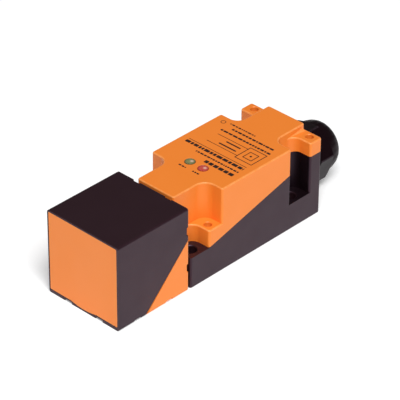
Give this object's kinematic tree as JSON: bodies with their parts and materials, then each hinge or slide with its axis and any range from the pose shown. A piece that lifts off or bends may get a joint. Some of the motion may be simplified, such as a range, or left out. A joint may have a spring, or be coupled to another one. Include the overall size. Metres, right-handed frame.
{
  "type": "rectangular inductive proximity sensor",
  "caption": "Block-shaped inductive proximity sensor with a turnable sensing head, a terminal housing under a slanted cover, mounting pockets and a cable gland.",
  "frame": {"origin": "on the flat mounting face of the housing, in the middle of the four mounting holes", "axes": "+Z away from the mounting face, +Y from the sensing head towards the cable gland along the object's length, +X across its width"},
  "size_m": [0.04, 0.144, 0.0404],
  "materials": {
    "black_housing": "fine spark-eroded matt",
    "orange_housing": "fine spark-eroded matt",
    "gland_black": "satin moulded polyamide",
    "seal_rubber": "matt",
    "green_lens": "clear gloss",
    "red_lens": "clear gloss",
    "circuit_board": "solder resist",
    "chip_black": "matt epoxy",
    "ferrite_grey": "sintered matt",
    "copper_winding": "enamelled wire",
    "plated_brass": "gold plated",
    "zinc_steel": "zinc plated",
    "terminal_plastic": "satin",
    "former_plastic": "satin"
  },
  "bodies": {
    "housing": {"base_housing": "black_housing", "cover_seal": "seal_rubber", "main_circuit_board": "circuit_board", "control_chip": "chip_black", "output_transistor": "chip_black", "capacitor": "chip_black", "led_green": "green_lens", "led_red": "red_lens", "docking_socket": "chip_black", "docking_board": "circuit_board", "flat_lead": "former_plastic", "terminal_block": "terminal_plastic", "gland_body": "gland_black", "gland_washer": "seal_rubber", "gland_seal": "seal_rubber", "gland_cage": "gland_black"},
    "cover": {"top_cover": "orange_housing", "light_guide_green": "green_lens", "light_guide_red": "red_lens"},
    "dock": {"docking_spigot": "black_housing", "docking_seal_front": "seal_rubber", "docking_seal_rear": "seal_rubber", "contact_pin_1": "plated_brass", "contact_pin_2": "plated_brass", "contact_pin_3": "plated_brass", "contact_pin_4": "plated_brass"},
    "head": {"head_frame": "black_housing", "sensing_body": "orange_housing", "head_back_plate": "orange_housing", "dock_plug": "black_housing", "ferrite_core": "ferrite_grey", "coil_former": "former_plastic", "sensing_coil": "copper_winding", "head_circuit_board": "circuit_board", "head_chip": "chip_black", "head_capacitor": "chip_black", "contact_board": "circuit_board"},
    "gland_nut": {"gland_nut": "gland_black"},
    "cover_screw_1": {"cover_screw_1": "zinc_steel"},
    "cover_screw_2": {"cover_screw_2": "zinc_steel"},
    "cover_screw_3": {"cover_screw_3": "zinc_steel"},
    "cover_screw_4": {"cover_screw_4": "zinc_steel"},
    "terminal_screw_1": {"terminal_screw_1": "zinc_steel"},
    "terminal_clamp_1": {"terminal_clamp_1": "zinc_steel"},
    "terminal_screw_2": {"terminal_screw_2": "zinc_steel"},
    "terminal_clamp_2": {"terminal_clamp_2": "zinc_steel"},
    "terminal_screw_3": {"terminal_screw_3": "zinc_steel"},
    "terminal_clamp_3": {"terminal_clamp_3": "zinc_steel"},
    "terminal_screw_4": {"terminal_screw_4": "zinc_steel"},
    "terminal_clamp_4": {"terminal_clamp_4": "zinc_steel"}
  },
  "joints": [
    {"name": "head_pull", "type": "slide", "parent": "housing", "child": "dock", "axis": [0, -1, 0], "range_m": [0, 0.011]},
    {"name": "head_turn", "type": "hinge", "parent": "dock", "child": "head", "pos_m": [0, -0.036, 0.02], "axis": [0, 1, 0], "range_deg": [-180, 180]},
    {"name": "cover_lift", "type": "slide", "parent": "housing", "child": "cover", "axis": [0, 0, 1], "range_m": [0, 0.03]},
    {"name": "gland_nut_turn", "type": "hinge", "parent": "housing", "child": "gland_nut", "pos_m": [0, 0.056, 0.0158], "axis": [0, 1, 0], "continuous": true},
    {"name": "cover_screw_1_turn", "type": "hinge", "parent": "cover", "child": "cover_screw_1", "pos_m": [-0.016, -0.0207, 0.02], "axis": [0, 0, 1], "continuous": true},
    {"name": "cover_screw_2_turn", "type": "hinge", "parent": "cover", "child": "cover_screw_2", "pos_m": [0.016, -0.0207, 0.02], "axis": [0, 0, 1], "continuous": true},
    {"name": "cover_screw_3_turn", "type": "hinge", "parent": "cover", "child": "cover_screw_3", "pos_m": [-0.0157, 0.041, 0.0342], "axis": [0, 0, 1], "continuous": true},
    {"name": "cover_screw_4_turn", "type": "hinge", "parent": "cover", "child": "cover_screw_4", "pos_m": [0.0157, 0.041, 0.0342], "axis": [0, 0, 1], "continuous": true},
    {"name": "terminal_screw_1_turn", "type": "hinge", "parent": "housing", "child": "terminal_screw_1", "pos_m": [-0.0105, 0.014, 0.0156], "axis": [0, 0, -1], "range_deg": [0, 1441]},
    {"name": "terminal_clamp_1_rise", "type": "slide", "parent": "housing", "child": "terminal_clamp_1", "axis": [0, 0, 1], "range_m": [0, 0.002]},
    {"name": "terminal_screw_2_turn", "type": "hinge", "parent": "housing", "child": "terminal_screw_2", "pos_m": [-0.0035, 0.014, 0.0156], "axis": [0, 0, -1], "range_deg": [0, 1441]},
    {"name": "terminal_clamp_2_rise", "type": "slide", "parent": "housing", "child": "terminal_clamp_2", "axis": [0, 0, 1], "range_m": [0, 0.002]},
    {"name": "terminal_screw_3_turn", "type": "hinge", "parent": "housing", "child": "terminal_screw_3", "pos_m": [0.0035, 0.014, 0.0156], "axis": [0, 0, -1], "range_deg": [0, 1441]},
    {"name": "terminal_clamp_3_rise", "type": "slide", "parent": "housing", "child": "terminal_clamp_3", "axis": [0, 0, 1], "range_m": [0, 0.002]},
    {"name": "terminal_screw_4_turn", "type": "hinge", "parent": "housing", "child": "terminal_screw_4", "pos_m": [0.0105, 0.014, 0.0156], "axis": [0, 0, -1], "range_deg": [0, 1441]},
    {"name": "terminal_clamp_4_rise", "type": "slide", "parent": "housing", "child": "terminal_clamp_4", "axis": [0, 0, 1], "range_m": [0, 0.002]}
  ],
  "couplings": [
    {"joint": "terminal_screw_1_turn", "follows": "terminal_clamp_1_rise", "rad_per_m": 12566},
    {"joint": "terminal_screw_2_turn", "follows": "terminal_clamp_2_rise", "rad_per_m": 12566},
    {"joint": "terminal_screw_3_turn", "follows": "terminal_clamp_3_rise", "rad_per_m": 12566},
    {"joint": "terminal_screw_4_turn", "follows": "terminal_clamp_4_rise", "rad_per_m": 12566}
  ]
}
